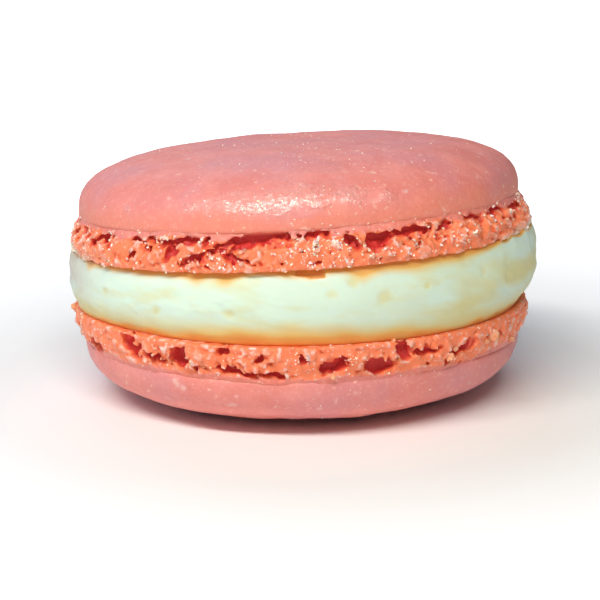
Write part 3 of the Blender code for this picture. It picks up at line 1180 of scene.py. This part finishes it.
def foot_crumb(sizes, foot, kind):
    """Points, faces and marks of one foot, in its shell's space.

    The skin of crumb_field on a grid of directions, radii and heights. A plain disc closes its
    inside, far behind what can be seen.
    """
    around = foot.steps
    step = 2 * math.pi * FOOT_RADIUS / around
    inner, outer = 20.5 * MM, FOOT_RADIUS + 0.6 * MM
    low, high = -0.35 * MM, sizes.foot_height + 0.35 * MM
    radii = np.arange(inner, outer, step)
    heights = np.arange(low, high, step)
    turn = np.arange(around) * 2 * math.pi / around
    grid = np.zeros((around, len(radii), len(heights), 3), np.float32)
    grid[..., 0] = (np.cos(turn)[:, None] * radii)[:, :, None]
    grid[..., 1] = (np.sin(turn)[:, None] * radii)[:, :, None]
    grid[..., 2] = heights

    field = crumb_field(sizes, foot, kind, grid)
    top = sizes.foot_height + 0.2 * MM - grid[..., 2]
    core = np.minimum(grid[..., 2], top)
    inside = s_curve(radii, inner + 1.5 * step, inner + 3.5 * step)[:, None]
    field = core * (1 - inside) + np.minimum(field, top) * inside
    field[:, :, 0] = -step
    field[:, :, -1] = -step
    field[:, -1, :] = -step

    cells, quads, number = net_over(field)
    angle = cells[:, 0] * 2 * math.pi / around
    radius = inner + cells[:, 1] * step
    height = low + cells[:, 2] * step
    points = np.stack([np.cos(angle) * radius, np.sin(angle) * radius, height], -1)
    bottom_ring = np.array([column[column >= 0].min() for column in number[:, 0, :]])
    top_ring = np.array([column[column >= 0].max() for column in number[:, 0, :]])
    middle = len(points)
    ends = [[0, 0, height[bottom_ring].mean()], [0, 0, height[top_ring].mean()]]
    points = np.vstack([points, ends])
    faces = [quads, fan_faces(bottom_ring[::-1], middle), fan_faces(top_ring, middle + 1)]
    radius = np.append(radius, [0, 0])
    rim = points + np.array([MM, 0, 0]) * (radius < MM)[:, None]
    below = foot_outline(sizes, points[:, 2], kind.inset) + foot_lumps(sizes, foot, rim, kind.seed) - radius
    # The hollow mark is the depth under the outline and the gap mark the depth between the grains; the finish paints
    # shade and glow by them.
    marks = {
        "hollow": np.clip(np.minimum(below, 3 * points[:, 2]) / (1.5 * MM), 0, 1),
        "skin": skin_share(sizes, rim, kind.seed),
        "smear": smear_share(rim, kind.seed) if kind.tilt else 0 * radius,
        "gap": grain_gap(foot, rim, kind.seed),
        "warmth": np.full(len(points), 0.5),
    }
    points, faces, marks = largest_part(points, faces, marks)
    return relaxed(points, faces, 0.5, 2), faces, marks


def smear_share(points, seed):
    """0 to 1, how much cream is smeared over the upper foot: low down, near its left and right ends."""
    azimuth = azimuth_of(points)
    height = points[..., 2] + 0.5 * MM * noise(points, 1.6 * MM, seed + 12)
    left = s_curve(-abs(turn_between(azimuth, -90)), -46, -10) * (1 - s_curve(height, 0.3 * MM, 1.9 * MM))
    right = s_curve(-abs(turn_between(azimuth, 80)), -38, -8) * (1 - s_curve(height, 0, 1.1 * MM))
    return np.maximum(left, right)


def build_feet():
    shell = bpy.context.scene.macaron_shell
    foot = bpy.context.scene.macaron_foot
    finish = crumb_finish()
    rows = list(UPPER_HOLLOWS) + random_hollows(5, 80, 294, 26)
    points, faces, marks = foot_crumb(shell, foot, FootKind(rows, foot.tilt, 0.0, 1.0, seed=60))
    place = upper_place()
    piece = new_piece("top_foot", moved(points, place), faces, finish, ["top_shell"], marks)
    thinned(piece, foot.triangles)
    rows = list(LOWER_HOLLOWS) + random_hollows(6, 64, 304, 28)
    kind = FootKind(rows, 0.0, foot.lower_inset, 0.7, seed=80)
    points, faces, marks = foot_crumb(shell, foot, kind)
    place = lower_place()
    piece = new_piece(
        "bottom_foot", moved(points, place), faces, finish, ["bottom_shell"], marks
    )
    thinned(piece, foot.triangles)


# ---------------------------------------------------------------- filling

# Soft pits in the buttercream at the front: azimuth in degrees, share of its height, and radius
# in millimetres. Then the runs where the painted shade under the upper shell reaches further down:
# azimuth and length.
FRONT_PITS = (
    (-36, 0.42, 0.55),
    (-17, 0.45, 0.55),
    (6, 0.68, 0.5),
    (11, 0.8, 0.6),
    (18, 0.6, 0.8),
    (29, 0.66, 0.35),
)
CHIP = (1.5, 3.8, 0.12)  # a chip under the upper shell: azimuth, half width in degrees, share of height
PAINTED_SHADE_RUNS = ((-62, 0.7), (-25, 0.4), (-18, 0.5), (2, 0.3), (13, 0.5), (150, 0.6), (205, 0.5))


def filling_points(sizes, rows, columns):
    """Points of the buttercream, its faces, and its marks: painted reflected light and shade near the shells, yellow,
    and dull.

    A profile of radius over height runs up from the lower shell, bulges along a flattened sine, and
    ends under the upper shell. It is carried round the axis, while its top follows the leaning face.
    """
    turn = np.arange(columns) * 2 * math.pi / columns
    share = np.linspace(0, 1, rows)[:, None]
    rim = np.stack([np.cos(turn), np.sin(turn), 0 * turn], -1)
    azimuth = azimuth_of(rim)
    straight = sizes.foot_radius + (sizes.head_radius - sizes.foot_radius) * share
    bulge = sizes.bulge_radius - (sizes.foot_radius + sizes.head_radius) / 2
    right = s_curve(-abs(turn_between(azimuth, 80)), -45, -10)
    left = s_curve(-abs(turn_between(azimuth, -88)), -45, -10)
    lapped = np.maximum(right, left)
    r = straight + bulge * np.sin(math.pi * share) ** (0.7 + 0.25 * right)
    r = r + (FOOT_RADIUS - sizes.head_radius - 0.25 * MM) * lapped * s_curve(share, 0.55, 1.0)
    r = r + 0.9 * MM * left * (1 - share) + 0.5 * MM * right * np.sin(math.pi * share)
    r = r + 0.16 * MM * (1 - s_curve(share, 0, 0.09))
    thickness = UPPER_FACE - LOWER_FACE
    place = rim[None] * r[..., None]
    place[..., 2] = share * thickness
    slow = 0.15 * MM * noise(place, 5 * MM, 100)
    drawn = place @ np.array([[0.45, 0, 0.2], [0, 0.45, 0], [0, 0, 1.0]])
    strokes = 0.10 * MM * noise(drawn, 1.5 * MM, 101) + 0.04 * MM * noise(drawn, 0.6 * MM, 102)
    torn = 0.06 * MM * noise(place, 1.5 * MM, 111) * right * s_curve(share, 0.35, 0.7)
    r = r + (slow + strokes + torn) * np.sin(math.pi * share) ** 0.5

    draws = np.random.default_rng(7)
    spread = [(draws.uniform(45, 330), draws.uniform(0.25, 0.8), draws.uniform(0.3, 0.7)) for _ in range(22)]
    wander = noise(place, 0.8 * MM, 103)
    across = turn_between(azimuth, CHIP[0]) / CHIP[1] + 0.12 * noise(place, 0.5 * MM, 110)
    chip = s_curve(-abs(across), -1, -0.8) * s_curve(share, 0.985 - CHIP[2], 1 - CHIP[2])
    chip = chip * s_curve(share + 0.5 * CHIP[2] * across, 0.985 - CHIP[2], 1 - CHIP[2])
    pit = np.zeros_like(r)
    for centre, height, radius in list(FRONT_PITS) + spread:
        along = np.radians(turn_between(azimuth, centre)) * sizes.bulge_radius
        up = (share - height) * thickness
        away = np.hypot(0.8 * along, 1.2 * up) / (radius * MM) + 0.4 * wander
        pit = np.maximum(pit, 1 - s_curve(away, 0.1, 1.3))
    r = r - 0.07 * MM * pit - 0.3 * MM * chip

    x = rim[:, 0] * r + sizes.shift
    y = rim[:, 1] * r
    bottom = LOWER_FACE - 0.05 * MM
    lift = (0.1 + 0.3 * lapped * noise(place[-1:], 1.5 * MM, 106)) * MM
    top = UPPER_FACE - (UPWARD.x * x + UPWARD.y * y) / UPWARD.z + np.maximum(lift, 0.05 * MM)
    points = np.stack([x, y, bottom + (top - bottom) * share], -1).reshape(-1, 3)
    low_ring = np.arange(columns)
    high_ring = low_ring + (rows - 1) * columns
    middle = len(points)
    points = np.vstack([points, [0, 0, bottom], [0, 0, UPPER_FACE + 0.1 * MM]])
    faces = [band_faces(rows, columns), fan_faces(low_ring[::-1], middle), fan_faces(high_ring, middle + 1)]

    # Painted reflected light and shade: over is the height above the lower shell and under the depth below the upper
    # one. Near the lower shell the cream turns yellow, gold and orange, standing in for light reflected from the
    # shells; under the upper shell a gold band stands in for its shadow and reflected light.
    over = share * (top - bottom) + 0.35 * MM * noise(place, 2.2 * MM, 104)
    reach = 0.7 * MM + 0.25 * MM * noise(rim * FOOT_RADIUS, 3 * MM, 105)
    reach = reach + 0.4 * MM * s_curve(-abs(turn_between(azimuth, 27)), -22, -6)
    for centre, run in PAINTED_SHADE_RUNS:
        reach = reach + run * MM * np.exp(-((turn_between(azimuth, centre) / 2.2) ** 2))
    under = (1 - share) * (top - bottom) / (reach * (1 - 0.8 * lapped))
    bands = noise(drawn, 2.6 * MM, 107) + 0.5 * noise(drawn, 1.2 * MM, 108)
    side = s_curve(-abs(turn_between(azimuth, 80)), -75, -15)
    yellow = side * s_curve(bands, -0.5, 0.5) * s_curve(-share, -1.0, -0.55)
    # Painted reflected light: yellow low down, near the lower shell.
    yellow = np.maximum(yellow, 1 - s_curve(over, 0.5 * MM, 3.0 * MM))
    yellow = np.maximum(yellow, 0.7 * pit)
    bounce_height = (0.9 + 1.5 * s_curve(-abs(turn_between(azimuth, -3)), -42, -10)) * MM
    painted_bounce_share = np.maximum(1 - s_curve(over / bounce_height, 0, 1), 0.9 - 0.9 * s_curve(under, 0.2, 1.4))
    # The chip under the upper shell is painted in the same shade colours.
    painted_bounce_share = np.maximum(painted_bounce_share, chip)
    ends = np.zeros(2)
    smeared = s_curve(-abs(turn_between(azimuth, -96)) + 8 * slow / MM, -46, -18)
    dull = smeared * s_curve(share + 0.3 * noise(place, 2 * MM, 109), 0.0, 0.7)
    marks = {
        "stain": np.append(painted_bounce_share.ravel(), ends),
        "yellow": np.append(yellow.ravel(), ends),
        "dull": np.append(dull.ravel(), ends),
    }
    return points, faces, marks


def build_filling():
    sizes = bpy.context.scene.macaron_filling
    points, faces, marks = filling_points(sizes, rows=84, columns=1080)
    new_piece("buttercream", points, faces, cream_finish(), ["filling"], marks)


# ---------------------------------------------------------------- crumbs and sugar

# Loose crumbs at the front of the lower foot: azimuth in degrees, height over the floor and
# radius, in millimetres.
FRONT_CRUMBS = (
    (37, 7.0, 0.5),
    (39, 7.6, 0.35),
    (52, 8.0, 0.5),
    (50, 7.5, 0.35),
    (7, 6.3, 0.3),
    (22, 9.3, 0.3),
    (-2, 9.2, 0.16),
    (-84, 8.5, 0.45),
)


def surface_of(piece):
    """Points, normals, and the hollow mark and the highlight-spot mark of a piece's mesh, 0 where it has none."""
    mesh = piece.data
    points = np.empty(len(mesh.vertices) * 3, np.float32)
    normals = np.empty_like(points)
    mesh.vertices.foreach_get("co", points)
    mesh.vertex_normals.foreach_get("vector", normals)
    marks = {}
    for mark in ("hollow", "moist"):
        marks[mark] = np.zeros(len(mesh.vertices), np.float32)
        if mark in mesh.attributes:
            mesh.attributes[mark].data.foreach_get("value", marks[mark])
    return points.reshape(-1, 3), normals.reshape(-1, 3), marks


def ball_grid(rows, columns):
    """Closed ball of radius 1: circles of latitude, with a fan at each pole."""
    rise = np.linspace(-math.pi / 2, math.pi / 2, rows + 2)[1:-1, None]
    turn = np.arange(columns) * 2 * math.pi / columns
    ring = np.stack([np.cos(rise) * np.cos(turn), np.cos(rise) * np.sin(turn), np.sin(rise) + 0 * turn], -1)
    points = np.vstack([ring.reshape(-1, 3), [0, 0, -1], [0, 0, 1]])
    last = np.arange(columns) + (rows - 1) * columns
    count = rows * columns
    return points, [band_faces(rows, columns), fan_faces(np.arange(columns)[::-1], count), fan_faces(last, count + 1)]


def random_turns(draws, count):
    """Rotation matrices, evenly spread, from random quaternions."""
    w, x, y, z = draws.normal(size=(4, count))
    size = np.sqrt(w * w + x * x + y * y + z * z)
    w, x, y, z = w / size, x / size, y / size, z / size
    rows = [
        [1 - 2 * (y * y + z * z), 2 * (x * y - z * w), 2 * (x * z + y * w)],
        [2 * (x * y + z * w), 1 - 2 * (x * x + z * z), 2 * (y * z - x * w)],
        [2 * (x * z - y * w), 2 * (y * z + x * w), 1 - 2 * (x * x + y * y)],
    ]
    return np.moveaxis(np.array(rows), -1, 0)


def strewn(shape, faces, places, turns, stretch):
    """Copies of one shape, each stretched, turned and put in its place, as one mesh's arrays.

    shape may hold a set of points for each copy.
    """
    sized = shape * stretch[:, None]
    copies = np.einsum("nij,nkj->nki", turns, sized) + places[:, None]
    shift = np.arange(len(places))[:, None, None] * sized.shape[1]
    return copies.reshape(-1, 3), [(f[None] + shift).reshape(-1, f.shape[1]) for f in faces]


def build_crumbs():
    """Loose crumbs that stick to the lower foot: balls pushed in and out by noise."""
    draws = np.random.default_rng(90)
    points, normals, marks = surface_of(bpy.data.objects["bottom_foot"])
    azimuth = azimuth_of(points)
    spread = [(draws.uniform(65, 300), draws.uniform(6.0, 9.0), draws.uniform(0.2, 0.45)) for _ in range(16)]
    places, sizes = [], []
    for centre, height, radius in list(FRONT_CRUMBS) + spread:
        along = np.radians(turn_between(azimuth, centre)) * FOOT_RADIUS
        away = np.hypot(along, points[:, 2] - height * MM) + 0.4 * MM * marks["hollow"]
        away = away + 2 * MM * (np.hypot(points[:, 0], points[:, 1]) < 21.9 * MM)
        nearest = away.argmin()
        places.append(points[nearest] + normals[nearest] * 0.1 * radius * MM)
        sizes.append(radius * MM * draws.uniform(0.7, 1.15, 3))
    places, sizes = np.array(places), np.array(sizes)
    shape, faces = ball_grid(17, 26)
    turns = random_turns(draws, len(places))
    points, faces = strewn(shape, faces, places, turns, sizes)
    middle = np.repeat(places, len(shape), axis=0)
    swell = 1 + 0.4 * noise(points, 0.45 * MM, 91) + 0.25 * noise(points, 0.2 * MM, 92)
    points = middle + (points - middle) * swell[:, None]
    new_piece("crumbs", points, faces, loose_finish(), ["bottom_shell"])


# Where sugar lies, grains whose pale colour partly stands in for glints: the piece, how many grains,
# the radius of the largest, in millimetres, and the weight of dry skin against the glossy highlighted
# skin.
SUGAR_GLINTS = (
    ("top_foot", 1150, 0.19, 1.0),
    ("bottom_foot", 500, 0.12, 1.0),
    ("top_cap", 340, 0.13, 0.25),
    ("bottom_cap", 90, 0.09, 1.0),
    ("buttercream", 60, 0.07, 1.0),
)


def build_sugar():
    """Grains of sugar on every piece: chipped eight-sided crystals, half sunk, in loose clusters. Their
    pale colour partly stands in for glints, a painted highlight.

    They are thickest at the front, and on the upper cap in its glossy spots of painted highlight.
    """
    draws = np.random.default_rng(95)
    octahedron = np.array([[1, 0, 0], [-1, 0, 0], [0, 1, 0], [0, -1, 0], [0, 0, 1], [0, 0, -1]], float)
    sides = [[0, 2, 4], [2, 1, 4], [1, 3, 4], [3, 0, 4], [2, 0, 5], [1, 2, 5], [3, 1, 5], [0, 3, 5]]
    places, sizes = [], []
    for name, count, largest, dry in SUGAR_GLINTS:
        points, normals, marks = surface_of(bpy.data.objects[name])
        hollow, moist = marks["hollow"], marks["moist"]
        shown = (hollow < 0.35) & (np.einsum("ij,ij->i", points, normals) > 0)
        if "foot" in name:
            shown &= np.hypot(points[:, 0], points[:, 1]) > 21.4 * MM
        front = np.exp(-((turn_between(azimuth_of(points), 6) / 16) ** 2))
        weight = dry * np.exp(2.5 * noise(points, 2.2 * MM, 96) + 1.6 * front) + 15 * moist
        weight = weight * shown * (1 - 2 * hollow).clip(0.05, 1)
        chosen = draws.choice(len(points), count, replace=False, p=weight / weight.sum())
        size = largest * MM * (0.3 + 0.7 * draws.random((count, 1)) ** 2.5) * draws.uniform(0.6, 1.2, (count, 3))
        places.append(points[chosen] + normals[chosen] * 0.2 * size.mean(1, keepdims=True))
        sizes.append(size)
    places, sizes = np.concatenate(places), np.concatenate(sizes)
    chipped = octahedron + draws.uniform(-0.3, 0.3, (len(places), 6, 3))
    turns = random_turns(draws, len(places))
    points, faces = strewn(chipped, [np.array(sides)], places, turns, sizes)
    new_piece("sugar", points, faces, sugar_finish()).data.shade_flat()


# ---------------------------------------------------------------- stage


def build_stage():
    stage = bpy.context.scene.macaron_stage
    tones = bpy.context.scene.macaron_colours
    scene = bpy.context.scene

    finish, tree, shader = new_finish("pale_floor", roughness=0.7)
    tint = add_node(tree, "ShaderNodeTexNoise", {"Scale": 8.0, "Detail": 2.0})
    base = blend(tree, ranged(tree, tint.outputs["Fac"], 0.3, 0.7), tones.floor, srgb(253, 253, 253))
    tree.links.new(base, shader.inputs["Base Color"])
    place = add_node(tree, "ShaderNodeTexCoord").outputs["Object"]
    away = add_node(tree, "ShaderNodeVectorMath", {0: place}, operation="LENGTH").outputs["Value"]
    glow = ranged(tree, away, 32 * MM, 130 * MM, 0.0, 0.9)
    seen = add_node(tree, "ShaderNodeLightPath").outputs["Is Camera Ray"]
    share = ranged(tree, seen, 0.0, 1.0, 0.2, 1.0)
    glow = add_node(tree, "ShaderNodeMath", {0: glow, 1: share}, operation="MULTIPLY").outputs[0]
    tree.links.new(glow, shader.inputs["Emission Strength"])
    shader.inputs["Emission Color"].default_value = (1, 1, 1, 1)
    mesh = bpy.data.meshes.new("floor")
    half = 2.0
    mesh.from_pydata([(-half, -half, 0), (half, -half, 0), (half, half, 0), (-half, half, 0)], [], [(0, 1, 2, 3)])
    mesh.materials.append(finish)
    floor = bpy.data.objects.new("floor", mesh)
    scene.collection.objects.link(floor)

    world = bpy.data.worlds.new("even_light")
    world.use_nodes = True
    tree = world.node_tree
    seen = add_node(tree, "ShaderNodeLightPath").outputs["Is Camera Ray"]
    strength = ranged(tree, seen, 0.0, 1.0, stage.sky, 1.0)
    tint = blend(tree, seen, (0.86, 0.93, 1.0), (1.0, 1.0, 1.0))
    tree.links.new(tint, tree.nodes["Background"].inputs["Color"])
    tree.links.new(strength, tree.nodes["Background"].inputs["Strength"])
    scene.world = world

    add_light("key_light", -18, 50, 0.40, (0.42, 0.05), stage.key, (1.0, 0.96, 0.89))
    add_light("side_light", -100, 20, 0.45, (0.30, 0.30), stage.side, (0.42, 0.66, 1.0))
    add_light("rim_light", -165, 40, 0.45, (0.30, 0.30), stage.rim, (0.62, 0.78, 1.0))

    camera = bpy.data.objects.new("camera", bpy.data.cameras.new("camera"))
    camera.data.sensor_width = 36
    camera.data.lens = stage.lens
    camera.data.clip_start = 0.01
    camera.data.clip_end = 20
    camera.matrix_world = (
        Matrix.Translation((-0.15 * MM, -stage.distance, stage.height))
        @ Matrix.Rotation(math.pi / 2 - stage.pitch, 4, "X")
        @ Matrix.Rotation(stage.roll, 4, "Z")
    )
    scene.collection.objects.link(camera)
    scene.camera = camera
    scene.view_settings.view_transform = "Standard"


def add_light(name, azimuth, elevation, distance, size, power, tint):
    """Soft box of a width and a height that looks at the macaron from an azimuth and an elevation."""
    turn, rise = math.radians(azimuth), math.radians(elevation)
    way = Vector((math.sin(turn) * math.cos(rise), -math.cos(turn) * math.cos(rise), math.sin(rise)))
    light = bpy.data.lights.new(name, "AREA")
    light.shape = "RECTANGLE"
    light.size, light.size_y = size
    light.energy = power
    light.color = tint
    lamp = bpy.data.objects.new(name, light)
    lamp.location = way * distance + Vector((0, 0, 12 * MM))
    lamp.rotation_euler = way.to_track_quat("Z", "Y").to_euler()
    bpy.context.scene.collection.objects.link(lamp)


# ---------------------------------------------------------------- add-on


class MACARON_OT_caps(bpy.types.Operator):
    """Build the smooth caps of both shells"""

    bl_idname = "macaron.caps"
    bl_label = "Caps"

    def execute(self, context):
        build_caps()
        return {"FINISHED"}


class MACARON_OT_feet(bpy.types.Operator):
    """Build the porous feet of both shells"""

    bl_idname = "macaron.feet"
    bl_label = "Feet"

    def execute(self, context):
        build_feet()
        return {"FINISHED"}


class MACARON_OT_filling(bpy.types.Operator):
    """Build the buttercream between the shells"""

    bl_idname = "macaron.filling"
    bl_label = "Filling"

    def execute(self, context):
        build_filling()
        return {"FINISHED"}


class MACARON_OT_crumbs(bpy.types.Operator):
    """Stick loose crumbs to the lower foot, which must be there already"""

    bl_idname = "macaron.crumbs"
    bl_label = "Crumbs"

    def execute(self, context):
        build_crumbs()
        return {"FINISHED"}


class MACARON_OT_sugar(bpy.types.Operator):
    """Scatter grains of sugar over the caps, the feet and the buttercream, which must be there"""

    bl_idname = "macaron.sugar"
    bl_label = "Sugar"

    def execute(self, context):
        build_sugar()
        return {"FINISHED"}


class MACARON_OT_stage(bpy.types.Operator):
    """Set up the floor, the lights and the camera"""

    bl_idname = "macaron.stage"
    bl_label = "Stage"

    def execute(self, context):
        build_stage()
        return {"FINISHED"}


OPERATORS = (
    MACARON_OT_stage,
    MACARON_OT_caps,
    MACARON_OT_feet,
    MACARON_OT_filling,
    MACARON_OT_crumbs,
    MACARON_OT_sugar,
)


class MACARON_PT_sidebar(bpy.types.Panel):
    """The macaron's settings and the steps that build it"""

    bl_idname = "MACARON_PT_sidebar"
    bl_label = "Macaron"
    bl_space_type = "VIEW_3D"
    bl_region_type = "UI"
    bl_category = "Macaron"

    def draw(self, context):
        for name, settings in SETTINGS.items():
            box = self.layout.box()
            box.label(text=settings.__doc__)
            for label in settings.__annotations__:
                box.prop(getattr(context.scene, name), label)
        for operator in OPERATORS:
            self.layout.operator(operator.bl_idname)


def register():
    for settings in SETTINGS.values():
        bpy.utils.register_class(settings)
    for name, settings in SETTINGS.items():
        setattr(bpy.types.Scene, name, PointerProperty(type=settings))
    for item in (*OPERATORS, MACARON_PT_sidebar):
        bpy.utils.register_class(item)


def unregister():
    for item in reversed((*OPERATORS, MACARON_PT_sidebar)):
        bpy.utils.unregister_class(item)
    for name, settings in reversed(SETTINGS.items()):
        delattr(bpy.types.Scene, name)
        bpy.utils.unregister_class(settings)


def main():
    register()
    bpy.ops.macaron.stage()
    bpy.ops.macaron.caps()
    bpy.ops.macaron.feet()
    bpy.ops.macaron.filling()
    bpy.ops.macaron.crumbs()
    bpy.ops.macaron.sugar()


if __name__ == "__main__":
    main()
